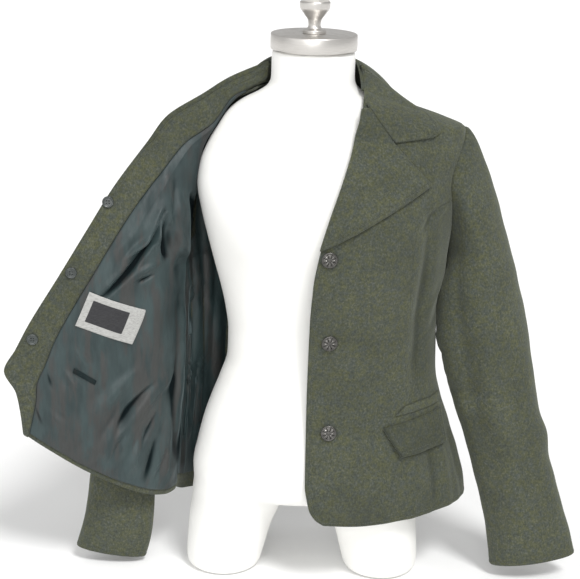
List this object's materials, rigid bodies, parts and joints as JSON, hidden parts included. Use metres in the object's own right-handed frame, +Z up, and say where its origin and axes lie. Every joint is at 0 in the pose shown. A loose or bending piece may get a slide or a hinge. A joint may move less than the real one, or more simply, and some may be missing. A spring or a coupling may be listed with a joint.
{
  "type": "tyrolean loden jacket on a limbless dress form",
  "caption": "Short stand-and-fall collared wool loden jacket, half open, with metal buttons and a satin lining, worn by a headless, armless and legless dress form.",
  "frame": {"origin": "bottom centre of the whole part's bounding box, on the plane that the form's two thigh ends stand on", "axes": "+Z up through the form's neck, -Y out of the front of the body, +X towards the closed left half of the jacket"},
  "size_m": [0.821, 0.2742, 0.8491],
  "materials": {
    "loden": "milled grey green wool melange",
    "lining": "satin",
    "label_satin": "woven satin",
    "form_cover": "taut plain jersey",
    "brushed_metal": "brushed",
    "antique_metal": "antique, worn raised edges",
    "dark_button": "semi gloss"
  },
  "bodies": {
    "root": {"back_left": "loden", "back_right": "loden", "backing_button_1": "dark_button", "backing_button_2": "dark_button", "backing_button_3": "dark_button", "button_left_1": "antique_metal", "button_left_2": "antique_metal", "button_left_3": "antique_metal", "button_right_1": "antique_metal", "button_right_2": "antique_metal", "button_right_3": "antique_metal", "collar": "loden", "collar_right_end": "loden", "collar_stand": "loden", "dress_form": "form_cover", "facing_right": "loden", "finial": "brushed_metal", "flap_left": "loden", "flap_right": "loden", "front_left": "loden", "front_right": "loden", "front_right_shoulder": "loden", "inner_welt": "lining", "label": "label_satin", "lapel_left": "loden", "lining_back_right": "lining", "lining_front_right": "lining", "neck_plate": "brushed_metal", "side_front_left": "loden", "side_front_right": "loden", "sleeve_left_under": "loden", "sleeve_left_upper": "loden", "sleeve_right_under": "loden", "sleeve_right_upper": "loden", "welt_left": "loden", "welt_right": "loden"}
  },
  "joints": []
}
